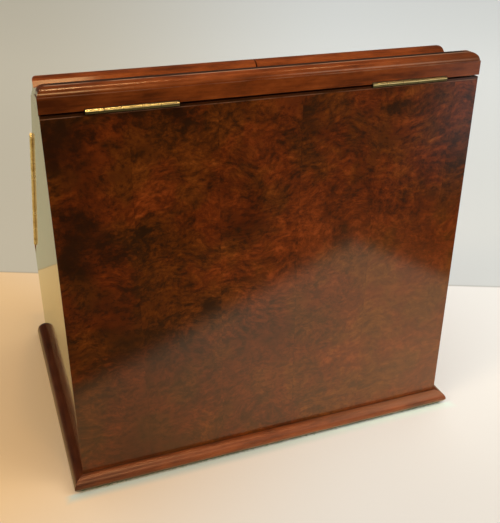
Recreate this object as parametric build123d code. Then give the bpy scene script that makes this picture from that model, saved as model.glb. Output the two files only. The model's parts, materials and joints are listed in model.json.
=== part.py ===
from build123d import *
from math import cos, sin, tan, radians
import os

# Stationery box in burr walnut. The upright back stands towards +Y, the doors slope up from
# the front at -Y. Left and right are those of a person sitting in front of the box.
# Millimetres, origin at the centre of the footprint on the table.

# ---- case ----
CASE_WIDTH = 336.0
CASE_DEPTH = 248.0
CASE_TOP = 314.0            # top edge of the back and the sides
BOARD = 10.0                # thickness of the back and the sides
SLOPE = 48.0                # lean of the doors from the horizontal, degrees
KINK_HEIGHT = 116.0         # where the upright front meets the doors
BAIZE = 1.5                 # cloth under the box
BAIZE_MARGIN = 6.0          # how far the cloth reaches past the case
BASE_TOP = 12.5             # top of the base board and its moulding
BASE_PROUD = 9.0            # how far the base moulding stands out

# ---- doors ----
DOOR_THICK = 16.0
DOOR_RUN = 290.0            # measured up the slope
DOOR_ROUND = 8.0            # rounded outer arrises
DOOR_INSET = 2.3            # set in from the outside of the case
DOOR_GAP = 0.4              # between a closed door and the case
MEETING_GAP = 1.0           # between the two doors

# ---- lid ----
LID_UNDERSIDE = 315.5
LID_PROUD = 0.4             # fascia past the case
LID_FASCIA = 326.3          # top of the straight-grained fascia
LID_STEP = 0.6
LID_OVOLO = 6.0
LID_LAND = 5.9
LID_FALL = 15.0             # fall of the lid towards the doors, degrees
LID_SWING = 41.0            # front edge, measured from the hinge pin

# ---- hinges ----
KNUCKLE_GAP = 0.3
PIN_RUNNING = 0.06
LID_HINGE_LENGTH = 64.0
LID_HINGE_CENTRE = 106.5
DOOR_HINGE_LENGTH = 206.0
DOOR_HINGE_START = 26.0     # up the slope from the foot of the door

# ---- drawer ----
RAIL_BOTTOM = 88.0
RAIL_DEPTH = 20.0
FLOOR_THICK = 6.0
DRAWER_GAP = 0.5
DRAWER_FRONT = 14.0
DRAWER_SIDE = 6.0
DRAWER_SIDE_TOP = 72.0
DRAWER_LENGTH = 214.0
DOVETAIL = 9.0              # length of the tails let into the drawer front
KNOB_SPACING = 180.0

# ---- letter rack ----
CHEEK_THICK = 5.0
CHEEK_DROP = 24.0           # the cheeks stay this far below the doors
DIVIDER_THICK = 3.0
DIVIDER_PITCH = 28.0
DIVIDER_REAR = 86.0
DIVIDER_REAR_TOP = 284.0
DIVIDER_FALL = 31.5         # each divider is this much lower than the one behind it
HOUSING = 2.5               # depth of the grooves that hold the dividers
DIP_RADIUS = 210.0          # hollowed top edge of a divider
DIP = 26.0

# ---- lock, let into the right-hand door ----
LOCK_X = 16.0
LOCK_Y = 168.0              # up the slope
LOCK_LEFT = 3.6
LOCK_BODY = (39.4, 28.0, 7.0)
LOCK_PLATE = (42.4, 34.0, 1.2)
ESCUTCHEON = (13.0, 20.0, 1.0)
STRIKE = (11.5, 24.0, 1.0)

# ---- pen tray and ink bottles ----
TRAY_HEIGHT = 13.0
TRAY_ROOM = 4.0             # between the tray and the front rail
TROUGH_RADIUS = 12.0
TROUGH_RISE = 16.0          # centre of the trough above the floor
STAND_INNER = 91.0          # where the ink stands begin
STAND_HEIGHT = 18.0
INK_CENTRE = 124.5
INK_DEPTH = -42.0           # Y of the bottles
BOTTLE = 38.0
BOTTLE_HEIGHT = 32.0
BOTTLE_WALL = 3.0
NECK_HEIGHT = 7.0
NECK_HALF = 12.0            # the neck is square outside
MOUTH_RADIUS = 9.0          # and round inside

# ---- worked out from the above ----
HALF_W = CASE_WIDTH / 2
HALF_D = CASE_DEPTH / 2
UP = (cos(radians(SLOPE)), sin(radians(SLOPE)))
KINK = (-HALF_D, KINK_HEIGHT)
LEDGE = (KINK[0] + DOOR_THICK * UP[1], KINK[1] - DOOR_THICK * UP[0])
SLOPE_TOP = LEDGE[0] + (CASE_TOP - LEDGE[1]) / tan(radians(SLOPE))
LID_AXIS = (CASE_TOP + LID_UNDERSIDE) / 2
INNER_W = HALF_W - BOARD
INNER_BACK = HALF_D - BOARD
FLOOR_TOP = RAIL_BOTTOM + FLOOR_THICK
INNER_FRONT = -HALF_D + RAIL_DEPTH
# X across, Y up the slope from the ledge, Z outwards from the face the doors close on
slope_plane = Plane(origin=(0, LEDGE[0], LEDGE[1]), x_dir=(1, 0, 0), z_dir=(0, -UP[1], UP[0]))


def block(x0, x1, y0, y1, z0, z1):
    """A squared-up piece between two corners."""
    middle = Pos((x0 + x1) / 2, (y0 + y1) / 2, (z0 + z1) / 2)
    return middle * Box(x1 - x0, y1 - y0, z1 - z0)


def board(outline, x0, x1):
    """A board with its outline in depth and height, carried across the width."""
    face = Plane.YZ.offset(x0) * Polygon(*outline, align=None)
    return extrude(face, amount=x1 - x0, dir=(1, 0, 0))


def mirrored(piece):
    """The same piece for the other side of the box."""
    return mirror(piece, about=Plane.YZ)


def rod(radius, length, place=Pos(0, 0, 0)):
    """A round bar lying along X."""
    return place * Rot(0, 90, 0) * Cylinder(radius, length)


# ------------------------------------------------------------------ hinges
def butt_hinge(length, knuckles, barrel, pin, leaf, thick, gap):
    """A closed butt hinge: fixed leaf, moving leaf and pin.

    The pin lies along X through the origin and both leaves reach along +Y, the fixed one
    below the joint and the moving one above it.
    """
    pitch = (length + KNUCKLE_GAP) / knuckles
    knuckle = pitch - KNUCKLE_GAP
    centres = [-length / 2 + knuckle / 2 + pitch * i for i in range(knuckles)]
    plates = [block(-length / 2, length / 2, 0, leaf, -gap / 2 - thick, -gap / 2),
              block(-length / 2, length / 2, 0, leaf, gap / 2, gap / 2 + thick)]
    notch = barrel + KNUCKLE_GAP
    leaves = []
    for which, plate in enumerate(plates):
        for i, centre in enumerate(centres):
            reach = pitch / 2 + KNUCKLE_GAP / 2
            if i % 2 == which:
                plate = plate + rod(barrel, knuckle, Pos(centre, 0, 0))
            else:
                plate = plate - block(centre - reach, centre + reach, -1, notch, -notch, notch)
        bore = pin + PIN_RUNNING * which
        leaves.append(plate - rod(bore, length + 10))
    return leaves[0], leaves[1], rod(pin, length)


# lid hinges, leaves let in flush above and below the joint
lid_hinge_place = Plane(origin=(LID_HINGE_CENTRE, HALF_D, LID_AXIS), x_dir=(-1, 0, 0),
                        z_dir=(0, 0, 1))
LID_BARREL = 1.8
lid_leaf, lid_strap, lid_pin = [
    lid_hinge_place * piece
    for piece in butt_hinge(LID_HINGE_LENGTH, 5, LID_BARREL, 0.8, 8.5, 1.0,
                            LID_UNDERSIDE - CASE_TOP)]
lid_recess = lid_hinge_place * block(-LID_HINGE_LENGTH / 2, LID_HINGE_LENGTH / 2, 0, 8.5,
                                     -1.75, 1.75)
lid_relief = lid_hinge_place * rod(LID_BARREL + 0.4, LID_HINGE_LENGTH + 1)

# door hinges, pins along the sloping side edges
DOOR_BARREL = 2.0
door_hinge_middle = DOOR_HINGE_START + DOOR_HINGE_LENGTH / 2
hinge_origin = slope_plane.from_local_coords((HALF_W, door_hinge_middle, DOOR_GAP / 2))
door_hinge_place = Plane(origin=hinge_origin, x_dir=(0, UP[0], UP[1]),
                         z_dir=(0, -UP[1], UP[0]))
door_leaf, door_strap, door_pin = [
    door_hinge_place * piece
    for piece in butt_hinge(DOOR_HINGE_LENGTH, 5, DOOR_BARREL, 0.9, 8.5, 1.0, DOOR_GAP)]
door_recess = door_hinge_place * block(-DOOR_HINGE_LENGTH / 2, DOOR_HINGE_LENGTH / 2, 0, 8.5,
                                       -1.2, 1.2)
door_relief = door_hinge_place * rod(DOOR_BARREL + 0.4, DOOR_HINGE_LENGTH + 1)


# ------------------------------------------------------------------ case
back_panel = block(-HALF_W, HALF_W, INNER_BACK, HALF_D, BAIZE, CASE_TOP)
for cutter in (lid_recess, lid_relief):
    back_panel = back_panel - cutter - mirrored(cutter)

side_outline = [(INNER_BACK, BAIZE), (INNER_BACK, CASE_TOP), (SLOPE_TOP, CASE_TOP),
                LEDGE, KINK, (-HALF_D, BAIZE)]
right_side = board(side_outline, INNER_W, HALF_W) - door_recess - door_relief
left_side = mirrored(right_side)

base_board = block(-INNER_W, INNER_W, -HALF_D, INNER_BACK, BAIZE, BASE_TOP)
rail_outline = [(-HALF_D, RAIL_BOTTOM), (INNER_FRONT, RAIL_BOTTOM), (INNER_FRONT, LEDGE[1]),
                LEDGE, KINK]
front_rail = board(rail_outline, -INNER_W, INNER_W)
interior_floor = block(-INNER_W, INNER_W, INNER_FRONT, INNER_BACK, RAIL_BOTTOM, FLOOR_TOP)

baize_underlay = block(-HALF_W - BAIZE_MARGIN, HALF_W + BAIZE_MARGIN,
                       -HALF_D - BAIZE_MARGIN, HALF_D + BAIZE_MARGIN, 0, BAIZE)


def base_section():
    """Ovolo section of the base moulding: distance out from the case, and height."""
    fillet_in = 1.2
    radius = BASE_PROUD - fillet_in
    shoulder = (fillet_in, BASE_TOP)
    nose = (BASE_PROUD, BASE_TOP - radius)
    belly = (fillet_in + radius * 0.7071, BASE_TOP - radius * 0.2929)
    line = Polyline((0, BAIZE), (0, BASE_TOP), shoulder)
    curve = ThreePointArc(shoulder, belly, nose)
    foot = Polyline(nose, (BASE_PROUD - 2, BAIZE), (0, BAIZE))
    return make_face(line + curve + foot)


def mitred(strip, x, y):
    """Trim the ends of a strip running across the box to 45 degree mitres.

    x and y give the outer corner of the mitre.
    """
    ahead = 1 if y > 0 else -1
    for hand in (1, -1):
        cut = Plane(origin=(hand * x, y, 0), z_dir=(-hand, ahead, 0))
        strip = split(strip, bisect_by=cut, keep=Keep.TOP)
    return strip


def side_mitred(strip, x, ends):
    """Trim the ends of a strip running from front to back along the right-hand side."""
    for y in ends:
        ahead = 1 if y > 0 else -1
        cut = Plane(origin=(x, y, 0), z_dir=(1, -ahead, 0))
        strip = split(strip, bisect_by=cut, keep=Keep.TOP)
    return strip


out_x = HALF_W + BASE_PROUD
out_y = HALF_D + BASE_PROUD
back_run = Plane(origin=(-out_x, HALF_D, 0), x_dir=(0, 1, 0), z_dir=(1, 0, 0)) * base_section()
side_run = Plane(origin=(HALF_W, out_y, 0), x_dir=(1, 0, 0), z_dir=(0, -1, 0)) * base_section()
front_run = Plane(origin=(-HALF_W, -HALF_D, 0), x_dir=(0, -1, 0), z_dir=(-1, 0, 0)) * base_section()
base_moulding_back = mitred(extrude(back_run, amount=2 * out_x, dir=(1, 0, 0)), out_x, out_y)
base_moulding_right = side_mitred(extrude(side_run, amount=out_y + HALF_D, dir=(0, -1, 0)),
                                  out_x, (out_y,))
base_moulding_left = mirrored(base_moulding_right)

# the front strip is turned round the front corners to meet the side strips
corner_section = Plane(origin=(HALF_W, -HALF_D, 0), x_dir=(1, 0, 0), z_dir=(0, -1, 0)) * base_section()
front_corner = revolve(corner_section, axis=Axis((HALF_W, -HALF_D, 0), (0, 0, 1)),
                       revolution_arc=-90)
base_moulding_front = extrude(front_run, amount=2 * HALF_W, dir=(1, 0, 0))
base_moulding_front = base_moulding_front + front_corner + mirrored(front_corner)


# ------------------------------------------------------------------ lid
lid_x = HALF_W + LID_PROUD
lid_y = HALF_D + LID_PROUD
LID_TOP = LID_FASCIA + LID_OVOLO
LID_BORDER = LID_STEP + LID_OVOLO + LID_LAND


def lid_section():
    """Section of the lid moulding: distance in from the fascia, and height."""
    spring = (LID_STEP, LID_FASCIA)
    belly = (LID_STEP + LID_OVOLO * 0.2929, LID_FASCIA + LID_OVOLO * 0.7071)
    crown = (LID_STEP + LID_OVOLO, LID_TOP)
    line = Polyline((0, LID_UNDERSIDE), (0, LID_FASCIA), spring)
    curve = ThreePointArc(spring, belly, crown)
    inner = Polyline(crown, (LID_BORDER, LID_TOP), (LID_BORDER, LID_UNDERSIDE),
                     (0, LID_UNDERSIDE))
    return make_face(line + curve + inner)


front_y = HALF_D - LID_SWING
back_lid_run = Plane(origin=(-lid_x, lid_y, 0), x_dir=(0, -1, 0), z_dir=(-1, 0, 0))
swing = rod(LID_SWING, 2 * lid_x + 10, Pos(0, HALF_D, LID_AXIS))
above_joint = block(-lid_x - 5, lid_x + 5, front_y - 20, lid_y + 5, LID_UNDERSIDE, LID_TOP + 5)

lid_moulding_back = mitred(
    extrude(back_lid_run * lid_section(), amount=2 * lid_x, dir=(1, 0, 0)), lid_x, lid_y)
for cutter in (lid_recess, lid_relief):
    lid_moulding_back = lid_moulding_back - cutter - mirrored(cutter)

# the side mouldings run level from the back corner, then turn down with the fall of the lid
fall_start = lid_y - LID_BORDER
bend = Pos(0, fall_start, LID_TOP) * Rot(LID_FALL, 0, 0) * Pos(0, -fall_start, -LID_TOP)
turn = Plane(origin=(0, fall_start, LID_TOP),
             z_dir=(0, cos(radians(LID_FALL / 2)), sin(radians(LID_FALL / 2))))
side_lid_run = Plane(origin=(lid_x, lid_y, 0), x_dir=(-1, 0, 0), z_dir=(0, 1, 0))
long_side = extrude(side_lid_run * lid_section(), amount=70, dir=(0, -1, 0))
level_part = split(long_side, bisect_by=turn, keep=Keep.TOP)
falling_part = split(bend * long_side, bisect_by=turn, keep=Keep.BOTTOM)
lid_moulding_right = side_mitred((level_part + falling_part) & above_joint & swing,
                                 lid_x, (lid_y,))
lid_moulding_left = mirrored(lid_moulding_right)

fall_length = 50.0
lid_outline = [(fall_start, LID_UNDERSIDE), (fall_start, LID_TOP),
               (fall_start - fall_length, LID_TOP - fall_length * tan(radians(LID_FALL))),
               (fall_start - fall_length, LID_UNDERSIDE)]
lid_panel = board(lid_outline, -lid_x + LID_BORDER, lid_x - LID_BORDER) & swing


# ------------------------------------------------------------------ doors
def door_blank():
    """Right-hand door lying on the slope plane, outer arrises rounded."""
    side = HALF_W - DOOR_INSET
    blank = block(MEETING_GAP / 2, side, 0.8, DOOR_RUN, DOOR_GAP, DOOR_THICK)
    top_face = blank.faces().sort_by(Axis.Z)[-1]
    far_edge = top_face.edges().sort_by(Axis.Y)[-1]
    outer_edge = top_face.edges().sort_by(Axis.X)[-1]
    return fillet([far_edge, outer_edge], DOOR_ROUND)


def keyhole(depth0, depth1):
    """Keyhole through whatever lies between two depths at the middle of the meeting edge."""
    eye = Pos(LOCK_X, LOCK_Y + 2, (depth0 + depth1) / 2) * Cylinder(1.7, depth1 - depth0)
    slot = block(LOCK_X - 0.8, LOCK_X + 0.8, LOCK_Y - 4.5, LOCK_Y + 2, depth0, depth1)
    return eye + slot


blank = door_blank()
meeting_bevel = extrude(
    Plane.XZ * Polygon((-1, -1), (2.8, -1), (MEETING_GAP / 2, 6), (-1, 6), align=None),
    amount=DOOR_RUN + 5, dir=(0, 1, 0))
right_blank = blank - meeting_bevel - keyhole(-1, DOOR_THICK + 1)
right_door_panel = slope_plane * right_blank - door_recess - door_relief
left_door_panel = mirrored(slope_plane * blank - door_recess - door_relief)


def under_door(size, x):
    """A plate of a given size, against the inside of a door from x towards the right."""
    wide, high, thick = size
    return block(x, x + wide, LOCK_Y - high / 2, LOCK_Y + high / 2, DOOR_GAP - thick, DOOR_GAP)


lock_case = under_door(LOCK_BODY, LOCK_LEFT) + under_door(LOCK_PLATE, LOCK_LEFT)
lock_case = slope_plane * (lock_case - keyhole(-4, 1))
escutcheon = Pos(LOCK_X, LOCK_Y, DOOR_THICK + ESCUTCHEON[2] / 2) * Box(*ESCUTCHEON)
escutcheon = chamfer(escutcheon.edges().filter_by(Axis.Z), 3)
lock_escutcheon = slope_plane * (escutcheon - keyhole(DOOR_THICK - 1, DOOR_THICK + 2))
lock_strike = slope_plane * under_door(STRIKE, -MEETING_GAP / 2 - STRIKE[0])


# ------------------------------------------------------------------ drawer
def dovetails(x0, x1, root, tip, z0, z1, count):
    """Tails on the end of a drawer side, wider at the tip than at the root."""
    pitch = (z1 - z0) / count
    tails = []
    for i in range(count):
        middle = z0 + pitch * (i + 0.5)
        narrow = pitch * 0.27
        wide = pitch * 0.38
        tails.append(board([(root, middle - narrow), (tip, middle - wide),
                            (tip, middle + wide), (root, middle + narrow)], x0, x1))
    return tails


drawer_low = BASE_TOP + DRAWER_GAP
drawer_x = INNER_W - DRAWER_GAP
drawer_face = -HALF_D
shoulder_y = drawer_face + DRAWER_FRONT
drawer_end = drawer_face + DRAWER_LENGTH
side_inner = drawer_x - DRAWER_SIDE

front_tails = dovetails(side_inner, drawer_x, shoulder_y, shoulder_y - DOVETAIL,
                        drawer_low + 3, DRAWER_SIDE_TOP, 4)
rear_tails = dovetails(side_inner, drawer_x, drawer_end - DRAWER_SIDE, drawer_end,
                       drawer_low + 7, DRAWER_SIDE_TOP - 4, 3)
drawer_side_right = block(side_inner, drawer_x, shoulder_y, drawer_end - DRAWER_SIDE,
                          drawer_low, DRAWER_SIDE_TOP)
for tail in front_tails + rear_tails:
    drawer_side_right = drawer_side_right + tail
drawer_front = block(-drawer_x, drawer_x, drawer_face, shoulder_y, drawer_low,
                     RAIL_BOTTOM - DRAWER_GAP)
drawer_back = block(-drawer_x, drawer_x, drawer_end - DRAWER_SIDE, drawer_end,
                    drawer_low + 7, DRAWER_SIDE_TOP - 4)
for tail in front_tails:
    drawer_front = drawer_front - tail - mirrored(tail)
for tail in rear_tails:
    drawer_back = drawer_back - tail - mirrored(tail)
drawer_bottom = block(-side_inner - 2.5, side_inner + 2.5, shoulder_y - 3, drawer_end,
                      drawer_low + 3, drawer_low + 7)
drawer_side_right = drawer_side_right - drawer_bottom
drawer_front = drawer_front - drawer_bottom
drawer_side_left = mirrored(drawer_side_right)


def knob():
    """Turned brass knob standing out along -Y from the drawer front."""
    rose = [(0, 0), (5, 0), (5, 0.8), (2.1, 0.8)]
    head = [(2.1, 3.6), (5.4, 3.6), (5.4, 8.0), (0, 8.0)]
    turned = revolve(make_face(Polyline(*rose, *head, (0, 0))), axis=Axis.Y)
    return Rot(180, 0, 0) * turned


knob_height = (drawer_low + RAIL_BOTTOM) / 2
drawer_knob_right = Pos(KNOB_SPACING / 2, drawer_face, knob_height) * knob()
drawer_knob_left = Pos(-KNOB_SPACING / 2, drawer_face, knob_height) * knob()


# ------------------------------------------------------------------ letter rack
divider_names = ["divider_rear", "divider_second", "divider_third", "divider_front"]
cheek_inner = INNER_W - CHEEK_THICK
cheek_front = DIVIDER_REAR - 3 * DIVIDER_PITCH - 8


def under_slope(y):
    """Height of the closing face of the doors above a point at depth y."""
    return LEDGE[1] + (y - LEDGE[0]) * tan(radians(SLOPE))


cheek_outline = [(INNER_BACK, FLOOR_TOP), (INNER_BACK, CASE_TOP - 18),
                 (DIVIDER_REAR - 6, CASE_TOP - 18),
                 (cheek_front, under_slope(cheek_front) - CHEEK_DROP),
                 (cheek_front, FLOOR_TOP)]
rack_cheek_right = board(cheek_outline, cheek_inner, INNER_W)
dividers = {}
for i, name in enumerate(divider_names):
    y = DIVIDER_REAR - DIVIDER_PITCH * i
    top = DIVIDER_REAR_TOP - DIVIDER_FALL * i
    sheet = block(-cheek_inner - HOUSING, cheek_inner + HOUSING, y, y + DIVIDER_THICK,
                  FLOOR_TOP, top)
    rack_cheek_right = rack_cheek_right - sheet
    dip = Pos(0, y, top + DIP_RADIUS - DIP) * Rot(90, 0, 0) * Cylinder(DIP_RADIUS, 20)
    dividers[name] = sheet - dip
rack_cheek_left = mirrored(rack_cheek_right)

# ------------------------------------------------------------------ pen tray and ink stands
tray_front = INNER_FRONT + TRAY_ROOM
tray_back = cheek_front - TRAY_ROOM - 1
pen_tray = block(-STAND_INNER + 1, STAND_INNER - 1, tray_front, tray_back, FLOOR_TOP,
                 FLOOR_TOP + TRAY_HEIGHT)
trough_pitch = (tray_back - tray_front) / 3
for i in range(3):
    place = Pos(0, tray_front + trough_pitch * (i + 0.5), FLOOR_TOP + TROUGH_RISE)
    pen_tray = pen_tray - rod(TROUGH_RADIUS, 2 * STAND_INNER - 16, place)

well = BOTTLE / 2 + 0.6
stand_floor = FLOOR_TOP + 3
ink_stand_right = block(STAND_INNER, INNER_W, tray_front, tray_back, FLOOR_TOP,
                        FLOOR_TOP + STAND_HEIGHT)
ink_stand_right = ink_stand_right - block(INK_CENTRE - well, INK_CENTRE + well,
                                          INK_DEPTH - well, INK_DEPTH + well,
                                          stand_floor, FLOOR_TOP + 30)
ink_stand_left = mirrored(ink_stand_right)

# square moulded bottle, hollow, with a square neck and a round mouth
bottle_top = stand_floor + BOTTLE_HEIGHT
neck_top = bottle_top + NECK_HEIGHT
outside = Pos(0, 0, stand_floor + BOTTLE_HEIGHT / 2) * Box(BOTTLE, BOTTLE, BOTTLE_HEIGHT)
outside = chamfer(outside.edges().filter_by(Axis.Z), 3)
outside = chamfer(outside.faces().sort_by(Axis.Z)[-1].edges(), 2)
neck = Pos(0, 0, bottle_top + NECK_HEIGHT / 2) * Box(2 * NECK_HALF, 2 * NECK_HALF, NECK_HEIGHT)
cavity = BOTTLE / 2 - BOTTLE_WALL
hollow = block(-cavity, cavity, -cavity, cavity, stand_floor + 4, bottle_top - 4)
mouth = Pos(0, 0, bottle_top + 2) * Cylinder(MOUTH_RADIUS, 16)
bottle = outside + neck - hollow - mouth

# brass collar round the neck, with two ears behind it for the cap hinge
COLLAR_HEIGHT = 5.0
COLLAR_WALL = 2.0
EAR_HALF = 1.7
EAR_INNER = 2.2
EAR_OUTER = 4.6
INK_PIN = 0.6
ear_y = NECK_HALF + 5
ear_z = neck_top + 0.6
collar_half = NECK_HALF + COLLAR_WALL


def ear(inner, outer):
    """Hinge ear behind the collar: a low web and an upright eye for the pin."""
    low = neck_top - 3
    web = block(inner, outer, NECK_HALF + 0.6, ear_y, low, neck_top - 0.2)
    return web + block(inner, outer, ear_y - EAR_HALF, ear_y + EAR_HALF, low, ear_z + EAR_HALF)


collar_middle = Pos(0, 0, neck_top - COLLAR_HEIGHT / 2)
collar = collar_middle * Box(2 * collar_half, 2 * collar_half, COLLAR_HEIGHT)
collar = chamfer(collar.edges().filter_by(Axis.Z), COLLAR_WALL)
collar = collar - collar_middle * Box(2 * NECK_HALF, 2 * NECK_HALF, COLLAR_HEIGHT + 3)
collar = collar + ear(EAR_INNER, EAR_OUTER) + ear(-EAR_OUTER, -EAR_INNER)
ink_collar = collar - rod(INK_PIN, 30, Pos(0, ear_y, ear_z))
ink_pin = rod(INK_PIN, 2 * EAR_OUTER, Pos(0, ear_y, ear_z))

# brass cap on a knuckle between the ears: a bevelled square top and a round button to lift
CAP_LIFT = 0.4
SKIRT_HEIGHT = 2.2
CROWN_HEIGHT = 2.4
BUTTON_HEIGHT = 4.8
KNUCKLE_HALF = EAR_INNER - KNUCKLE_GAP
cap_low = neck_top + CAP_LIFT
crown_low = cap_low + SKIRT_HEIGHT
crown_top = crown_low + CROWN_HEIGHT
crown_half = collar_half - 3
skirt = block(-collar_half, collar_half, -collar_half, collar_half, cap_low, crown_low)
skirt = chamfer(skirt.edges().filter_by(Axis.Z), COLLAR_WALL)
crown = block(-crown_half, crown_half, -crown_half, crown_half, crown_low, crown_top)
crown = chamfer(crown.faces().sort_by(Axis.Z)[-1].edges(), 1.6)
button = Pos(0, 0, crown_top + BUTTON_HEIGHT / 2) * Cylinder(2.6, BUTTON_HEIGHT)
tongue = block(-KNUCKLE_HALF, KNUCKLE_HALF, crown_half, ear_y, cap_low, cap_low + 1.8)
knuckle = rod(EAR_HALF, 2 * KNUCKLE_HALF, Pos(0, ear_y, ear_z))
ink_cap = skirt + crown + button + tongue + knuckle
ink_cap = ink_cap - rod(INK_PIN + PIN_RUNNING, 30, Pos(0, ear_y, ear_z))


# ------------------------------------------------------------------ write every piece
parts = {
    "back_panel": back_panel,
    "left_side": left_side,
    "right_side": right_side,
    "base_board": base_board,
    "front_rail": front_rail,
    "interior_floor": interior_floor,
    "baize_underlay": baize_underlay,
    "base_moulding_back": base_moulding_back,
    "base_moulding_front": base_moulding_front,
    "base_moulding_left": base_moulding_left,
    "base_moulding_right": base_moulding_right,
    "rack_cheek_left": rack_cheek_left,
    "rack_cheek_right": rack_cheek_right,
    "pen_tray": pen_tray,
    "ink_stand_left": ink_stand_left,
    "ink_stand_right": ink_stand_right,
    "lid_hinge_leaf_right": lid_leaf,
    "lid_hinge_leaf_left": mirrored(lid_leaf),
    "lid_hinge_pin_right": lid_pin,
    "lid_hinge_pin_left": mirrored(lid_pin),
    "door_hinge_leaf_right": door_leaf,
    "door_hinge_leaf_left": mirrored(door_leaf),
    "door_hinge_pin_right": door_pin,
    "door_hinge_pin_left": mirrored(door_pin),
    "lid_panel": lid_panel,
    "lid_moulding_back": lid_moulding_back,
    "lid_moulding_left": lid_moulding_left,
    "lid_moulding_right": lid_moulding_right,
    "lid_hinge_strap_right": lid_strap,
    "lid_hinge_strap_left": mirrored(lid_strap),
    "left_door_panel": left_door_panel,
    "left_door_hinge_strap": mirrored(door_strap),
    "lock_strike": lock_strike,
    "right_door_panel": right_door_panel,
    "right_door_hinge_strap": door_strap,
    "lock_case": lock_case,
    "lock_escutcheon": lock_escutcheon,
    "drawer_front": drawer_front,
    "drawer_side_left": drawer_side_left,
    "drawer_side_right": drawer_side_right,
    "drawer_back": drawer_back,
    "drawer_bottom": drawer_bottom,
    "drawer_knob_left": drawer_knob_left,
    "drawer_knob_right": drawer_knob_right,
}
parts.update(dividers)
for side, hand in (("left", -1), ("right", 1)):
    place = Pos(hand * INK_CENTRE, INK_DEPTH, 0)
    parts["ink_bottle_" + side] = place * bottle
    parts["ink_collar_" + side] = place * ink_collar
    parts["ink_pin_" + side] = place * ink_pin
    parts["ink_cap_" + side] = place * ink_cap

os.makedirs("parts", exist_ok=True)
for name, piece in parts.items():
    piece.label = name
    export_step(piece, "parts/" + name + ".step")
print(len(parts), "pieces written")
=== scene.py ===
# %% [markdown]
# # A stationery box, dressed
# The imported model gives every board, hinge and knob at its real size. This lesson adds what a
# cabinet maker and a polisher would: figured veneer, straight-grained mouldings, brass that has
# been handled, a cloth underlay, screws, and the light to see them by.

# %% Load the frame
import json
from math import pi, radians

import bmesh
import bpy
import numpy as np
from mathutils import Matrix, Vector


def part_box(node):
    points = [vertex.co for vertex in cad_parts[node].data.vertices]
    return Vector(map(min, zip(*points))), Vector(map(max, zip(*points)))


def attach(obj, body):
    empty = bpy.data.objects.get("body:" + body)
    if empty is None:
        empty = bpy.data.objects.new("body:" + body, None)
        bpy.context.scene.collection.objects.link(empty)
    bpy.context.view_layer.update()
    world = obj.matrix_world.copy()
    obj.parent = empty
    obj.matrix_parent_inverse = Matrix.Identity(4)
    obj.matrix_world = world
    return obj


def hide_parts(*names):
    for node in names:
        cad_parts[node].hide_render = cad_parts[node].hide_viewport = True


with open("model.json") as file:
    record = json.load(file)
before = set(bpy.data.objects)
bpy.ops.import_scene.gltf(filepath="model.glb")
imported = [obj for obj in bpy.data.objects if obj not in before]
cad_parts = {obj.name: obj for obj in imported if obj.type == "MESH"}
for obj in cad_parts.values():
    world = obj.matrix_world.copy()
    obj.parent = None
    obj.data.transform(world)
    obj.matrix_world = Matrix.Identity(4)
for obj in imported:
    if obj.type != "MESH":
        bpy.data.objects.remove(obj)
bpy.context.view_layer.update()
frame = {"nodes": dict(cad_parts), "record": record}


def new_object(name, data):
    """An object in the scene, made from a mesh, a lamp or a camera."""
    made = bpy.data.objects.new(name, data)
    bpy.context.scene.collection.objects.link(made)
    return made


# %% [markdown]
# ## Measures taken from the frame
# Everything below is placed from the boards themselves, so nothing has to be measured twice.
# The doors lie on a slope, and the hinge of the right-hand door gives its direction: the pin
# runs up the slope. What comes in pairs is made once for each hand of the box: +X is the
# right, -X the left.

# %% Measures
MM = 0.001
VENEER = 0.8 * MM
case_low, case_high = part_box("back_panel")
CASE_X = case_high.x
CASE_BACK = case_high.y
CASE_INNER_BACK = case_low.y
CASE_TOP = case_high.z
door_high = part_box("right_door_panel")[1]
cloth_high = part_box("baize_underlay")[1]
hinges = {joint["name"]: joint for joint in frame["record"]["behaviour"]["joints"]}
ACROSS = Vector((1, 0, 0))
UP_SLOPE = Vector(hinges["right_door_hinge"]["axis"])
OUTWARD = ACROSS.cross(UP_SLOPE)
DOOR_PIN = Vector(hinges["right_door_hinge"]["pos_m"])
HANDS = ((1, "right"), (-1, "left"))


def middle_x(name):
    """How far across the box the middle of a piece lies."""
    low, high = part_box(name)
    return (low.x + high.x) / 2


print(f"case {2000 * CASE_X:.0f} mm wide, top edge {1000 * CASE_TOP:.0f} mm up")
print("doors face", [round(v, 2) for v in OUTWARD])

# %% [markdown]
# ## The camera
# The box is seen from behind, from above and a little to its right-hand side. A camera in
# Blender looks down its own -Z, so it is tipped up by 90 degrees less the angle it looks down
# by, and then turned about the vertical to face the box.

# %% Camera
CAMERA_PLACE = Vector((0.2088, 0.6183, 0.4551))
CAMERA_HEADING = 159.3
CAMERA_DOWN = 27.15
CAMERA_LEAN = 0.37
LENS_MM = 52.2

camera_data = bpy.data.cameras.new("viewpoint")
camera_data.lens = LENS_MM
camera_data.clip_start = 0.01
camera = new_object("viewpoint", camera_data)
camera.matrix_world = (Matrix.Translation(CAMERA_PLACE)
                       @ Matrix.Rotation(radians(CAMERA_HEADING), 4, "Z")
                       @ Matrix.Rotation(radians(90 - CAMERA_DOWN), 4, "X")
                       @ Matrix.Rotation(radians(CAMERA_LEAN), 4, "Z"))
bpy.context.scene.camera = camera
print("camera", [round(v, 3) for v in CAMERA_PLACE], "lens", LENS_MM)

# %% [markdown]
# ## Building materials from nodes
# A finish is a small tree of nodes ending in one shader, and one tree is built at a time:
# every helper adds to the tree begun last. `add` makes a node and fills its inputs, with
# numbers or with the output of another node, and `shades` turns a value into colours, as a
# paint chart would. Polished wood wears a clear hard coat. Under it the fibres throw back
# light of their own colour, so the shine beneath the coat is tinted orange.

# %% Node helpers
work = {}


def begin(tree):
    """Makes a tree the one that nodes are added to."""
    work["tree"] = tree


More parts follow.
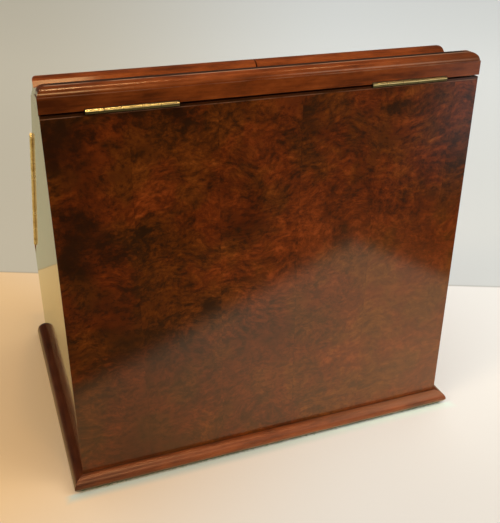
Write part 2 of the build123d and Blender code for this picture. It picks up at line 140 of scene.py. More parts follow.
def finish_of(name):
    """A new material, whose tree is begun: returns it and its shader."""
    material = bpy.data.materials.new(name)
    material.use_nodes = True
    begin(material.node_tree)
    return material, material.node_tree.nodes["Principled BSDF"]


def fill(node, inputs):
    """Gives each named input of a node a value, or a link from another node."""
    for key, value in inputs.items():
        if isinstance(value, bpy.types.NodeSocket):
            node.id_data.links.new(value, node.inputs[key])
        else:
            node.inputs[key].default_value = value


def add(kind, inputs=None, **options):
    """Adds a node, sets its options and fills its inputs."""
    made = work["tree"].nodes.new("ShaderNode" + kind)
    for key, value in options.items():
        setattr(made, key, value)
    fill(made, inputs or {})
    return made


def tone(red, green, blue):
    """A colour given as it looks on paper, 0 to 255, as the linear values Blender wants."""
    values = [v / 255 for v in (red, green, blue)]
    return tuple(v / 12.92 if v < 0.04045 else ((v + 0.055) / 1.055) ** 2.4
                 for v in values) + (1.0,)


def grey(level):
    """A neutral tint that darkens what it multiplies."""
    return (level, level, level, 1.0)


def shades(value, stops, smooth=True):
    """A colour ramp: stops are (place, colour) pairs."""
    made = add("ValToRGB", {0: value})
    ramp = made.color_ramp
    ramp.interpolation = "EASE" if smooth else "LINEAR"
    while len(ramp.elements) < len(stops):
        ramp.elements.new(0.5)
    for element, (place, colour) in zip(ramp.elements, stops):
        element.position = place
        element.color = colour
    return made.outputs[0]


def maths(operation, *values):
    """One sum on values: returns its output."""
    return add("Math", dict(enumerate(values)), operation=operation).outputs[0]


def times(first, second):
    """The product of two values."""
    return maths("MULTIPLY", first, second)


def less(first, second):
    """The first value less the second."""
    return maths("SUBTRACT", first, second)


def between(value, low, high, low_out=0.0, high_out=1.0):
    """Stretches the part of a value between low and high to a new range, with soft ends."""
    made = add("MapRange", {"Value": value, "From Min": low, "From Max": high,
                            "To Min": low_out, "To Max": high_out},
               interpolation_type="SMOOTHSTEP")
    return made.outputs[0]


def mixed(factor, first, second, blend="MIX"):
    """Two colours mixed by a factor."""
    inputs = {0: factor, 6: first, 7: second}
    return add("Mix", inputs, data_type="RGBA", blend_type=blend).outputs[2]


def tinted(colour, tint):
    """A colour multiplied by another."""
    return mixed(1.0, colour, tint, "MULTIPLY")


def mix_values(factor, first, second):
    """Blends two values by a factor."""
    return maths("MULTIPLY_ADD", less(second, first), factor, first)


def object_coords():
    """The place of a point, in the box's own metres."""
    return add("TexCoord").outputs["Object"]


def apart(place):
    """The three coordinates of a place."""
    return add("SeparateXYZ", {0: place}).outputs


def vectors(operation, *values):
    """One sum on places: returns its node's outputs."""
    return add("VectorMath", dict(enumerate(values)), operation=operation).outputs


def noise(place, scale, detail=4.0, rough=0.55, twist=0.0):
    """Cloudy noise at a place, from 0 to 1 and mostly near 0.5."""
    made = add("TexNoise", {"Vector": place, "Scale": scale, "Detail": detail,
                            "Roughness": rough, "Distortion": twist})
    return made.outputs[0]


def pushed(place, scale, detail, rough, reach):
    """A place pushed about by a noise, half of the reach each way at most."""
    drift = add("TexNoise", {"Vector": place, "Scale": scale, "Detail": detail,
                             "Roughness": rough}).outputs["Color"]
    push = vectors("SUBTRACT", drift, (0.5, 0.5, 0.5))[0]
    push = vectors("MULTIPLY", push, (reach, reach, reach))[0]
    return vectors("ADD", place, push)[0]


def drawn_out(place, squeeze, lean=0.0):
    """A place leant over about Y and squeezed along X: a noise there is drawn out that way."""
    return add("Mapping", {"Vector": place, "Rotation": (0.0, lean, 0.0),
                           "Scale": (squeeze, 1.0, 1.0)}).outputs[0]


def summed(terms, start=0.5):
    """Start plus each value's distance from one half, times its weight."""
    total = start - 0.5 * sum(weight for _, weight in terms)
    for value, weight in terms:
        total = maths("MULTIPLY_ADD", value, weight, total)
    return total


def bumped(shader, height, depth, strength):
    """Gives the shader a relief from a height value; depth is in metres."""
    made = add("Bump", {"Height": height, "Strength": strength, "Distance": depth})
    fill(shader, {"Normal": made.outputs[0]})


SHIMMER = tone(255, 150, 60)


def polish(shader, coat_rough):
    """French polish: a clear hard coat, and under it the warm shimmer of the fibres."""
    fill(shader, {"Coat Weight": 1.0, "Coat Roughness": coat_rough, "Coat IOR": 1.5,
                  "Specular IOR Level": 0.5, "Specular Tint": SHIMMER})


print("helpers ready")

# %% [markdown]
# ## Walnut burr
# A burr is a knot of dormant buds on the trunk. Cut into veneer it shows no straight grain:
# flecks a few millimetres long lie over mottling of every size, and here and there sooty
# clouds and faint growth lines cross it. Mottling of every size is what summed noises give,
# each a few times finer than the last. The place is first pushed about by a slow noise, so
# that the flecks turn and fold, and squeezed along the board, so that they lie down. The
# contrast is kept low, because polish and age have drawn the colours together.

# %% Burr figure
BURR_SOOT = tone(34, 15, 6)
BURR_DARK = tone(58, 24, 7)
BURR_BROWN = tone(86, 35, 9)
BURR_RED = tone(110, 48, 13)
BURR_AMBER = tone(140, 66, 22)


def burr_figure(placed, shift=None):
    """The colour of walnut burr at a place. Shift moves the balance to dark or to light."""
    bent = pushed(placed, 15.0, 3.0, 0.55, 0.04)
    clouds = noise(placed, 11.0, 2.0, 0.5)
    mottle = noise(bent, 42.0, 3.0, 0.75)
    laid = noise(drawn_out(bent, 0.62), 230.0, 5.0, 0.80)
    leaning = noise(drawn_out(bent, 0.62, 1.1), 230.0, 5.0, 0.80)
    turned_way = between(noise(placed, 30.0, 2.0), 0.47, 0.56)
    flecks = mix_values(turned_way, laid, leaning)
    level = summed([(clouds, 0.45), (mottle, 1.05), (flecks, 2.1)])

    growth = noise(drawn_out(bent, 0.10, 0.7), 210.0, 2.0, 0.6)
    some = between(noise(placed, 9.0, 1.0), 0.46, 0.60)
    level = maths("MULTIPLY_ADD", less(growth, 0.5), some, level)
    if shift is not None:
        level = maths("ADD", level, shift)
    colour = shades(level, [(0.05, BURR_SOOT), (0.26, BURR_DARK), (0.50, BURR_BROWN),
                            (0.74, BURR_RED), (1.0, BURR_AMBER)], smooth=False)

    soot = summed([(noise(placed, 20.0, 3.0, 0.55, 0.4), 1.0), (flecks, 1.0)])
    if shift is not None:
        soot = maths("MULTIPLY_ADD", shift, -0.25, soot)
    return mixed(between(soot, 0.60, 0.80, 0.0, 0.62), colour, BURR_SOOT)


print("burr figure ready")

# %% [markdown]
# ## Straight-grained walnut
# Mouldings and edges are worked from straight stuff, because a plane tears a burr. The grain
# runs along the strip: noise that is squeezed across the strip and stretched along it. The
# place is given in a frame whose X follows the strip, so one figure serves every direction.

# %% Straight figure
WALNUT_DARK = tone(84, 35, 11)
WALNUT_MID = tone(120, 53, 16)
WALNUT_PALE = tone(146, 70, 25)


def straight_figure(placed):
    """The colour of straight-grained walnut at a place, with the grain along X."""
    drawn = drawn_out(placed, 0.045)
    bands = noise(drawn, 120.0, 3.0, 0.55, 0.5)
    fibres = noise(drawn, 650.0, 3.0, 0.6)
    stripes = noise(drawn_out(placed, 0.35), 95.0, 4.0, 0.65)
    level = summed([(bands, 0.5), (fibres, 0.45), (stripes, 1.1)])
    colour = shades(level, [(0.28, WALNUT_DARK), (0.50, WALNUT_MID),
                            (0.76, WALNUT_PALE)], smooth=False)
    pores = between(noise(drawn, 1900.0, 1.0), 0.64, 0.74, 0.0, 0.5)
    return mixed(pores, colour, WALNUT_DARK)


def turned_place(along, offset=(0.0, 0.0, 0.0)):
    """Object coordinates turned so that X follows a given direction in the box."""
    turn = Vector(along).rotation_difference(ACROSS).to_euler()
    return add("Mapping", {"Vector": object_coords(), "Location": offset,
                           "Rotation": tuple(turn)}).outputs[0]


def straight_walnut(name, along, offset=(0.0, 0.0, 0.0), wear=None, coat_rough=0.12):
    """Polished walnut with its grain along one direction.

    Wear is a function that paints light and shade on the figure, given the object coordinates.
    """
    material, shader = finish_of(name)
    placed = turned_place(along, offset)
    colour = straight_figure(placed)
    if wear:
        colour = wear(object_coords(), colour)
    rub = noise(placed, 30.0, 4.0)
    fill(shader, {"Base Color": colour, "Roughness": between(rub, 0.3, 0.7, 0.30, 0.44)})
    polish(shader, coat_rough)
    bumped(shader, noise(placed, 300.0, 2.0), 0.00003, 0.4)
    return material


# %% [markdown]
# ### Painted light and shade on the mouldings
# The right-hand end of the box, away from the window, is painted darker as shade. The lid's
# moulding has painted highlights in two thin broken pale lines, on the arris under its round
# and on the crown above it, a painted shadow in the gap behind the crown, and painted shade on
# its round towards the left-hand end. The base moulding has a painted highlight on top of its
# round and painted shade in the corner against the back.
# A band is found by taking the distance from a plane: 1 inside the band, 0 outside.

# %% Moulding light and shade
# colours of the painted light and shade: a dark shade for gaps and corners, two pale highlights
# and a darker walnut
GAP_SHADE = tone(38, 17, 8)
RUBBED_SHEEN = tone(150, 104, 74)
CROWN_HIGHLIGHT = tone(214, 168, 132)
WALNUT_SHADE = tone(66, 36, 20)
LID_ARRIS = 326.3 * MM
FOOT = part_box("base_moulding_back")[1]
LID_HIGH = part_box("lid_moulding_back")[1]
LID_CROWN = LID_HIGH.y - 6.6 * MM


def band(value, middle, half, soft):
    """1 where a value is within half of the middle, fading to 0 over soft."""
    away = maths("ABSOLUTE", less(value, middle))
    return between(away, half, half + soft, 1.0, 0.0)


def broken(coords, scale, low, high):
    """Patches along an edge, from 0 to 1, that break a thin line into pieces."""
    return between(noise(coords, scale, 4.0, 0.6), low, high)


def shaded_end(coords, colour, least=0.62):
    """Painted shade: multiplies a colour towards dark at the right-hand end of the box."""
    dark = between(apart(coords)[0], 0.02, 0.17, 0.0, 1.0)
    return mixed(dark, colour, tinted(colour, grey(least)))


def lid_light_and_shade(coords, colour):
    """Painted highlights on arris and crown; painted shadow behind the crown, shade at the
    left-hand end.
    """
    colour = shaded_end(coords, colour)
    place = apart(coords)
    # painted shade on the round towards the left-hand end
    far_end_shade = times(between(place[0], -0.06, -0.16),
                    between(place[2], LID_ARRIS - 1.0 * MM, LID_ARRIS, 0.2, 1.0))
    colour = mixed(times(far_end_shade, 0.55), colour, WALNUT_SHADE)
    # painted highlight along the arris, broken up, stronger towards the left-hand end
    edge = band(place[2], LID_ARRIS - 0.25 * MM, 0.12 * MM, 0.25 * MM)
    pale_sheen = times(edge, broken(coords, 45.0, 0.38, 0.62))
    sheen_strength = between(place[0], 0.12, -0.17, 0.35, 0.85)
    colour = mixed(times(pale_sheen, sheen_strength), colour, RUBBED_SHEEN)
    # painted shadow in the gap behind the crown
    high = between(place[2], LID_HIGH.z - 0.5 * MM, LID_HIGH.z - 0.3 * MM)
    behind = between(place[1], LID_CROWN - 0.9 * MM, LID_CROWN - 0.5 * MM, 0.9, 0.0)
    colour = mixed(times(high, behind), colour, GAP_SHADE)
    # painted highlight along the crown
    crown_highlight = band(place[1], LID_CROWN + 0.1 * MM, 0.35 * MM, 0.25 * MM)
    crown_highlight = times(times(crown_highlight, high), broken(coords, 30.0, 0.30, 0.52))
    return mixed(times(crown_highlight, 0.85), colour, CROWN_HIGHLIGHT)


def base_light_and_shade(coords, colour):
    """Painted shade in the corner against the back; below it a painted highlight on the round's
    top.
    """
    colour = shaded_end(coords, colour)
    place = apart(coords)
    # painted highlight on the top of the round, stronger towards the left-hand end
    pale_sheen = times(between(place[2], FOOT.z - 4.5 * MM, FOOT.z - 1.5 * MM),
                   between(place[0], 0.02, -0.17, 0.06, 0.60))
    colour = mixed(pale_sheen, colour, RUBBED_SHEEN)
    # painted shade in the corner against the back
    soot = between(place[1], CASE_BACK + 0.4 * MM, CASE_BACK + 0.9 * MM, 0.85, 0.0)
    return mixed(soot, colour, GAP_SHADE)


def dark_side_shade(coords, colour):
    """The base moulding of the right-hand side, painted nearly black as shade."""
    return shaded_end(coords, colour, 0.36)


along_x = straight_walnut("walnut_across", (1, 0, 0), wear=base_light_and_shade, coat_rough=0.34)
along_y = straight_walnut("walnut_front_to_back", (0, 1, 0), (0.3, 0.7, 0.2),
                          wear=dark_side_shade, coat_rough=0.22)
lid_back_walnut = straight_walnut("walnut_lid_back", (1, 0, 0), (0.1, 0.2, 0.5), wear=lid_light_and_shade,
                                  coat_rough=0.17)
lid_side_walnut = straight_walnut("walnut_lid_side", (0, 1, 0), (0.6, 0.1, 0.4),
                                  wear=shaded_end)
print("straight walnut ready")

# %% [markdown]
# ## Veneered boards
# A veneered board shows three woods: burr on the face, straight stuff on the edges and, on the
# inside, a plain lining. One material holds all three and chooses by place: the face is a skin
# 0.8 mm thick, so a point within that distance of the outer face is burr. A distance is a dot
# product of the point with the face's direction, less that of a point on the face.

# %% Veneered boards
LINING_DARK = tone(84, 44, 20)
LINING_MID = tone(122, 70, 34)
LINING_PALE = tone(152, 96, 52)
LINING_DRAW = 0.06
SKIN_EDGE = 0.1 * MM


def beyond_plane(coords, direction, place, soft=SKIN_EDGE):
    """1 where a point lies past a plane, 0 where it lies short of it."""
    reach = vectors("DOT_PRODUCT", coords, tuple(direction))["Value"]
    edge = Vector(place).dot(Vector(direction))
    return between(reach, edge - soft, edge + soft)


def lining_figure(placed):
    """Plain wood for the inside, with its grain along X."""
    drawn = drawn_out(placed, LINING_DRAW)
    level = summed([(noise(drawn, 70.0, 4.0, 0.6, 0.8), 1.0),
                    (noise(drawn, 600.0, 3.0, 0.65), 0.7)])
    return shades(level, [(0.28, LINING_DARK), (0.50, LINING_MID), (0.74, LINING_PALE)],
                  smooth=False)


def veneered(name, offset, outward, face, inside, edge_along, turn=(0.0, 0.0, 0.0),
             borders=(), leaves=None, shift=None, wear=None, coat_rough=0.10):
    """A burr-faced board: straight walnut on the edges and a plain lining inside.

    Outward is the way the face looks, and face and inside are points on the two sides.
    Borders are further planes (direction, place) that the burr stays short of.
    Leaves, shift and wear are functions that slip the figure, set its balance and paint
    marks of use, and painted light and shade, on it.
    """
    material, shader = finish_of(name)
    coords = object_coords()
    placed = add("Mapping", {"Vector": coords, "Location": offset, "Rotation": turn}).outputs[0]
    joint = None
    if leaves:
        placed, joint = leaves(coords, placed)
    burr = burr_figure(placed, shift(coords) if shift else None)
    if joint is not None:
        burr = mixed(joint, burr, BURR_SOOT)
    grain = turned_place(edge_along, offset)
    skin = beyond_plane(coords, outward, Vector(face) - VENEER * Vector(outward))
    for direction, place in borders:
        skin = times(skin, less(1.0, beyond_plane(coords, direction, place)))
    lined = beyond_plane(coords, -Vector(outward), inside)
    colour = mixed(lined, straight_figure(grain), lining_figure(grain))
    colour = mixed(skin, colour, burr)
    if wear:
        colour = wear(coords, colour)
    rub = noise(coords, 26.0, 5.0, 0.6)
    fill(shader, {"Base Color": colour, "Roughness": between(rub, 0.3, 0.7, 0.32, 0.48)})
    polish(shader, coat_rough)
    bumped(shader, noise(coords, 90.0, 2.0), 0.00003, 0.3)
    return material


print("veneered boards ready")

# %% [markdown]
# ## The back: six leaves of veneer
# No burr is wide enough for the whole back, so the veneer is laid in upright leaves about
# 64 mm wide, cut one after another from the same log. The figure slips a little from leaf to
# leaf, and the joints show here and there as a faint dark line. The number of a leaf is the
# whole part of its distance across the back divided by the width of a leaf. The leaves nearest
# the right-hand side come from the darkest part of the burr. Sooty clouds lie where PATCHES
# says, faint growth rings go round the eye of a branch, and the lower left corner is golden.

# %% Back veneer
LEAF_WIDTH = 64.5 * MM
FIRST_JOINT = -147.5 * MM
LEAF_SLIP = (0.004, 0.0, 0.013)
JOINT_HALF = 0.35 * MM
GOLDEN = tone(98, 50, 12)
RED_CAST = (1.06, 0.88, 0.90, 1.0)
GOLD_CAST = (0.96, 1.10, 0.96, 1.0)
# each patch: across and up in mm, half its length and height, its lean in degrees, its depth
PATCHES = [
    (153, 219, 22, 32, 0, 0.38), (155, 294, 26, 22, 0, 0.34), (110, 219, 28, 15, 20, 0.30),
    (84, 306, 34, 12, 0, 0.32), (120, 126, 36, 20, -20, 0.12), (75, 144, 18, 10, -30, 0.09),
    (-26, 294, 17, 22, 0, 0.16), (-99, 297, 22, 20, 0, 0.20), (-97, 221, 30, 13, -35, 0.26),
    (-57, 203, 20, 13, -60, 0.22), (28, 249, 18, 10, 0, 0.12), (-2, 29, 28, 16, 0, 0.20),
    (-80, 36, 18, 13, 0, 0.15), (-47, 106, 18, 14, 0, 0.10), (108, 252, 30, 17, 0, -0.14),
    (43, 179, 28, 20, 20, -0.08), (-150, 270, 34, 60, 0, 0.16), (-140, 165, 30, 22, 0, 0.12)]
EYE = (-0.139, 0.0, 0.219)
EYE_REACH = 46.0 * MM


def back_leaves(coords, placed):
    """Slips the figure by a step for each leaf, and finds the joints between them."""
    across = less(apart(coords)[0], FIRST_JOINT)
    count = maths("DIVIDE", across, LEAF_WIDTH)
    slip = add("VectorMath", {0: LEAF_SLIP, "Scale": maths("FLOOR", count)}, operation="SCALE")
    slipped = vectors("ADD", placed, slip.outputs[0])[0]
    part = maths("PINGPONG", count, 0.5)
    line = between(part, 0.0, JOINT_HALF / LEAF_WIDTH, 0.45, 0.0)
    shown = between(noise(coords, 24.0, 2.0), 0.42, 0.60)
    return slipped, times(line, shown)


def towards(place, centre, size=(1.0, 1.0, 1.0), lean=0.0):
    """Distance from a centre on the back, in units of a leaning ellipse's half sizes."""
    set_out = add("Mapping", {"Vector": place, "Location": centre,
                              "Rotation": (0.0, radians(lean), 0.0), "Scale": size},
                  vector_type="TEXTURE")
    flat = vectors("MULTIPLY", set_out.outputs[0], (1.0, 0.0, 1.0))[0]
    return vectors("LENGTH", flat)["Value"]


def pale_corner(coords):
    """1 at the foot of the left-hand side of the back, fading away upwards and across."""
    place = apart(coords)
    return times(between(place[0], 0.06, -0.13), between(place[2], 0.24, 0.12))


def back_balance(coords):
    """Dark at the right-hand side of the back and in the patches, pale in the left corner."""
    place = apart(coords)
    level = between(place[0], -0.04, 0.17, 0.04, -0.12)
    level = maths("MULTIPLY_ADD", pale_corner(coords), 0.20, level)
    level = maths("ADD", level, between(place[2], 0.21, 0.11, 0.0, -0.06))
    ragged = pushed(coords, 45.0, 6.0, 0.72, 0.09)
    for x, z, half_long, half_high, lean, depth in PATCHES:
        away = towards(ragged, (x * MM, 0.0, z * MM), (half_long * MM, 1.0, half_high * MM), lean)
        level = less(level, between(away, 0.15, 1.25, depth, 0.0))
    away = towards(coords, EYE)
    rings = noise(add("CombineXYZ", {0: away}).outputs[0], 190.0, 2.0, 0.6)
    weight = between(away, 0.4 * EYE_REACH, EYE_REACH, 0.7, 0.0)
    return maths("MULTIPLY_ADD", less(rings, 0.5), weight, level)


def back_wear_and_light(coords, colour):
    """A softer figure in the pale corner; under the lid a painted shadow, and a pale line that is
    partly worn bare wood and partly painted highlight.
    """
    height = apart(coords)[2]
    soft = maths("MAXIMUM", times(pale_corner(coords), 0.46),
                 between(height, 0.15, 0.07, 0.0, 0.26))
    colour = mixed(soft, colour, GOLDEN)
    golden = between(noise(coords, 22.0, 3.0, 0.6), 0.42, 0.60)
    colour = tinted(colour, mixed(golden, RED_CAST, GOLD_CAST))
    # painted shadow under the lid
    lid_shadow = between(height, CASE_TOP - 3.2 * MM, CASE_TOP - 1.2 * MM, 0.0, 0.75)
    colour = mixed(lid_shadow, colour, BURR_SOOT)
    # a thin pale line: partly worn bare wood, partly painted highlight
    line = band(height, CASE_TOP - 1.9 * MM, 0.15 * MM, 0.25 * MM)
    worn_gleam = times(line, broken(coords, 38.0, 0.36, 0.62))
    return mixed(times(worn_gleam, 0.6), colour, RUBBED_SHEEN)


back_burr = veneered("burr_back", (0.31, 0.12, 0.44), (0, 1, 0), (0, CASE_BACK, 0),
                     (0, CASE_INNER_BACK + VENEER, 0), (1, 0, 0), leaves=back_leaves,
                     shift=back_balance, wear=back_wear_and_light)
print("back laid in leaves of", round(1000 * LEAF_WIDTH, 1), "mm")

# %% [markdown]
# ## Sides, doors, rail, drawer and lid
# The other boards are laid in one piece each. The rounded top and outer edges of the doors are
# solid walnut, which stands wear better than a thin skin, so their burr stops short of them.

# %% Other boards
EDGE_WIDTH = 9.0 * MM
RAIL_THICK = 18.0 * MM
SIDE_THICK = 10.0 * MM
DOOR_FACE_OUT = 15.8 * MM
DOOR_BACK_OUT = 0.6 * MM
side_inner = CASE_X - SIDE_THICK
door_top = UP_SLOPE.dot(Vector((0, door_high.y, door_high.z))) * UP_SLOPE
door_face = DOOR_PIN + DOOR_FACE_OUT * OUTWARD
door_back = DOOR_PIN + DOOR_BACK_OUT * OUTWARD
drawer_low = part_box("drawer_front")[0]
rail_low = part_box("front_rail")[0]
lid_low, lid_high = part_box("lid_panel")
LID_FALL = radians(15.0)
LID_NORMAL = Vector((0, -np.sin(LID_FALL), np.cos(LID_FALL)))

side_finish = {}
door_finish = {}
for hand, side in HANDS:
    side_finish[side] = veneered(
        "burr_side_" + side, (1.31, 2.12 * hand, 0.14), (hand, 0, 0), (hand * CASE_X, 0, 0),
        (hand * (side_inner + VENEER), 0, 0), UP_SLOPE, turn=(0.0, 0.0, pi / 2),
        coat_rough=0.04)
    outer_edge = (Vector((hand, 0, 0)), Vector((hand * (door_high.x - EDGE_WIDTH), 0, 0)))
    top_edge = (UP_SLOPE, door_top - EDGE_WIDTH * UP_SLOPE)
    door_finish[side] = veneered(
        "burr_door_" + side, (3.31, 0.52 * hand, 1.44), OUTWARD, door_face, door_back,
        (1, 0, 0), borders=(outer_edge, top_edge))
rail_finish = veneered("burr_rail", (2.2, 0.1, 0.7), (0, -1, 0), rail_low,
                       rail_low + Vector((0, RAIL_THICK, 0)), (1, 0, 0))
drawer_finish = veneered("burr_drawer", (4.2, 1.1, 0.3), (0, -1, 0), drawer_low,
                         drawer_low + Vector((0, VENEER + 0.1 * MM, 0)), (1, 0, 0))
lid_finish = veneered("burr_lid", (5.1, 0.4, 2.3), LID_NORMAL, (0, lid_high.y, lid_high.z),
                      (0, lid_high.y, lid_low.z + VENEER), (1, 0, 0))
print("boards:", len(side_finish) + len(door_finish) + 4)

# %% [markdown]
# ## The wood inside
# Racks, tray and drawer sides are plain, paler wood, only waxed: no coat, a satin roughness,
# and pores that can be felt.

# %% Interior wood
def lining_wood(name, along):
    """Waxed wood for the inside, with its grain along one direction."""
    material, shader = finish_of(name)
    placed = turned_place(along)
    fibres = noise(drawn_out(placed, LINING_DRAW), 700.0, 3.0, 0.65)
    fill(shader, {"Base Color": lining_figure(placed),
                  "Roughness": between(fibres, 0.3, 0.7, 0.42, 0.62)})
    bumped(shader, fibres, 0.00008, 0.6)
    return material


lining_x = lining_wood("lining_across", (1, 0, 0))
lining_y = lining_wood("lining_front_to_back", (0, 1, 0))
print("lining wood ready")

# %% [markdown]
# ## Brass
# Old lacquered brass is not one colour: it is brighter where fingers rub it and brown in the
# corners. A slow noise moves both its colour and its roughness, and small dark spots are
# places where the lacquer has gone. Grime on the handled pieces scatters a part of the light,
# so they are not wholly metallic. The lid's hinges are, and below their pin they are painted
# dark brown, as shade.

# %% Brass
BRASS_BRIGHT = tone(238, 224, 172)
BRASS_WORN = tone(214, 190, 124)
BRASS_BROWN = tone(150, 112, 54)
# painted shade for the lower part of the lid's hinges
BRASS_SHADE = tone(74, 64, 30)


def brass_metal(name, rough, shaded_below=None, variety=1.0, metallic=1.0):
    """Handled brass. Below a given height it is painted dark brown, as shade."""
    material, shader = finish_of(name)
    coords = object_coords()
    wear = noise(coords, 70.0, 5.0, 0.62)
    spots = noise(coords, 520.0, 3.0, 0.6)
    level = summed([(wear, 0.8 * variety), (spots, 0.5 * variety)],
                   start=0.5 + 0.2 * (1.0 - variety))
    colour = shades(level, [(0.26, BRASS_BROWN), (0.46, BRASS_WORN), (0.68, BRASS_BRIGHT)])
    # painted shade below the pin
    if shaded_below:
        height = apart(coords)[2]
        shaded = between(height, shaded_below - 0.5 * MM, shaded_below + 0.3 * MM, 0.85, 0.0)
        colour = mixed(shaded, colour, BRASS_SHADE)
    fill(shader, {"Base Color": colour, "Metallic": metallic,
                  "Roughness": between(wear, 0.35, 0.65, rough + 0.12, rough)})
    bumped(shader, spots, 0.00003, 0.5 * variety)
    return material


brass = brass_metal("brass_handled", 0.26, metallic=0.72)
lid_hinge_brass = brass_metal("brass_lid_hinge", 0.30, hinges["lid_hinge"]["pos_m"][2], 0.35)
print("brass ready")

# %% [markdown]
# ## Glass for the ink bottles
# Old bottle glass is thick, a little green and slightly wavy. The shader's transmission does
# the refraction, and a faint relief gives the wave.

# %% Glass
GLASS_GREEN = tone(214, 234, 224)
GLASS_CLEAR = tone(232, 244, 236)
ink_glass, shader = finish_of("bottle_glass")
wave = noise(object_coords(), 55.0, 2.0)
fill(shader, {"Base Color": shades(wave, [(0.3, GLASS_GREEN), (0.7, GLASS_CLEAR)]),
              "Transmission Weight": 1.0, "IOR": 1.5, "Roughness": 0.03})
bumped(shader, wave, 0.0004, 0.3)
print("glass ready")

# %% [markdown]
# ## Hand the finishes to the pieces
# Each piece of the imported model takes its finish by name. A strip that runs across the box has
# its grain across, and one that runs from front to back has its grain that way.

# %% Assign finishes
finish_by_piece = {
    "back_panel": back_burr, "lid_panel": lid_finish, "drawer_front": drawer_finish,
    "front_rail": rail_finish,
    "base_moulding_back": along_x, "base_moulding_front": along_x,
    "lid_moulding_back": lid_back_walnut,
}
finish_of_pair = {
    "base_moulding": along_y, "lid_moulding": lid_side_walnut, "rack_cheek": lining_y,
    "drawer_side": lining_y, "ink_bottle": ink_glass, "lid_hinge_leaf": lid_hinge_brass,
    "lid_hinge_pin": lid_hinge_brass, "lid_hinge_strap": lid_hinge_brass,
}
for _, side in HANDS:
    finish_by_piece[side + "_side"] = side_finish[side]
    finish_by_piece[side + "_door_panel"] = door_finish[side]
    for pair, finish in finish_of_pair.items():
        finish_by_piece[f"{pair}_{side}"] = finish
slot_finish = {"brass": brass, "interior_wood": lining_x, "baize": lining_x}
slot_of = {part["node"]: part["material_slot"] for part in frame["record"]["subparts"]}


def dress(piece, material):
    """Gives a piece one finish."""
    piece.data.materials.clear()
    piece.data.materials.append(material)


for name, piece in frame["nodes"].items():
    dress(piece, finish_by_piece.get(name) or slot_finish[slot_of[name]])
print(len(frame["nodes"]), "pieces dressed")

# %% [markdown]
# ## Making a mesh from whole arrays
# A new piece here is a sleeve of points worked out at once: rows and columns of a grid, bent
# into place by a formula. `woven` turns such a grid into a mesh. `closed` melts the points
# that fall together at a pole, and turns every face outwards.

# %% Grid helpers
def mesh_object(name, points, faces):
    """A mesh in the scene, from its points and the corners of its faces."""
    mesh = bpy.data.meshes.new(name)
    mesh.from_pydata(points, [], faces)
    return new_object(name, mesh)


def woven(name, points):
    """A sleeve from an array of rows, columns and three coordinates; each row is a ring."""
    rows, columns = points.shape[:2]
    start = columns * np.arange(rows - 1)[:, None]
    column = np.arange(columns)[None, :]
    beside = (column + 1) % columns
    corners = (start + column, start + columns + column, start + columns + beside, start + beside)
    faces = np.stack([c.ravel() for c in np.broadcast_arrays(*corners)], axis=1)
    return mesh_object(name, points.reshape(-1, 3), faces.tolist())


def closed(piece, smooth=True, melt=0.00001, ends=()):
    """Fills open ends, merges doubled points, faces all outwards and sets the shading."""
    shell = bmesh.new()
    shell.from_mesh(piece.data)
    shell.verts.ensure_lookup_table()
    for end in ends:
        shell.faces.new(shell.verts[end])
    bmesh.ops.remove_doubles(shell, verts=shell.verts, dist=melt)
    bmesh.ops.recalc_face_normals(shell, faces=shell.faces)
    shell.to_mesh(piece.data)
    shell.free()
    piece.data.polygons.foreach_set("use_smooth", [smooth] * len(piece.data.polygons))
    return piece


def joined(name, pieces):
    """Several meshes made one."""
    whole = bmesh.new()
    for piece in pieces:
        whole.from_mesh(piece.data)
        bpy.data.meshes.remove(piece.data)
    mesh = bpy.data.meshes.new(name)
    whole.to_mesh(mesh)
    whole.free()
    return new_object(name, mesh)


def turned(name, radii, heights, around):
    """A turned shape about Z: a profile of radii and heights carried round a circle."""
    angle = np.linspace(0, 2 * pi, around, endpoint=False)[None, :]
    radius = np.asarray(radii)[:, None]
    height = np.asarray(heights)[:, None]
    points = [radius * np.cos(angle), radius * np.sin(angle), height + 0 * angle]
    return closed(woven(name, np.stack(points, axis=-1)))


def moved(piece, place, out):
    """Carries a mesh to a place, its X across the box and its Z along out."""
    z_way = Vector(out).normalized()
    turn = Matrix((ACROSS, z_way.cross(ACROSS), z_way)).transposed().to_4x4()
    piece.data.transform(Matrix.Translation(Vector(place)) @ turn)
    return piece


print("grid helpers ready")

# %% [markdown]
# ## Screws
# The hinge leaves and the lock are held by countersunk brass screws with one straight slot.
# A head is a thin disc with two D-shaped lands on it, and the gap between the lands is the
# slot. Heads sit almost flush, because two leaves close on each other with little room.

# %% Screws
HEAD_PROUD = 0.12 * MM
SLOT_HALF = 0.28 * MM


def land(radius, thick):
    """Half of a screw head: a D whose straight side is the wall of the slot."""
    start = np.arcsin(SLOT_HALF / radius)
    angle = np.linspace(start, pi - start, 14)
    bevel = np.array([1.0, 1.0, 0.93, 0.0])[:, None]
    height = np.array([0.0, 0.6, 1.0, 1.0])[:, None] * thick
    middle = SLOT_HALF * 1.2
    x = radius * np.cos(angle)[None, :] * bevel
    y = np.maximum(radius * np.sin(angle)[None, :] * bevel, SLOT_HALF * np.minimum(1, bevel * 9))
    y = np.where(bevel == 0, middle, y)
    return closed(woven("land", np.stack([x, y, height + 0 * x], axis=-1)), smooth=False)


def screw_head(radius, thick, turn):
    """A slotted head standing on z = 0, its slot turned by an angle."""
    floor = turned("disc", [0, radius, radius, 0], [0, 0, thick * 0.25, thick * 0.25], 28)
    near = land(radius, thick)
    far = land(radius, thick)
    far.data.transform(Matrix.Rotation(pi, 4, "Z"))
    head = joined("head", [floor, near, far])
    head.data.transform(Matrix.Rotation(turn, 4, "Z"))
    return head


def screw_set(name, body, places, out, radius=1.7 * MM, thick=HEAD_PROUD):
    """Screws at several places, riding on one body, their slots at uneven angles."""
    heads = [moved(screw_head(radius, thick, 0.4 + 1.9 * number), place, out)
             for number, place in enumerate(places)]
    made = joined(name, heads)
    dress(made, brass)
    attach(made, body)


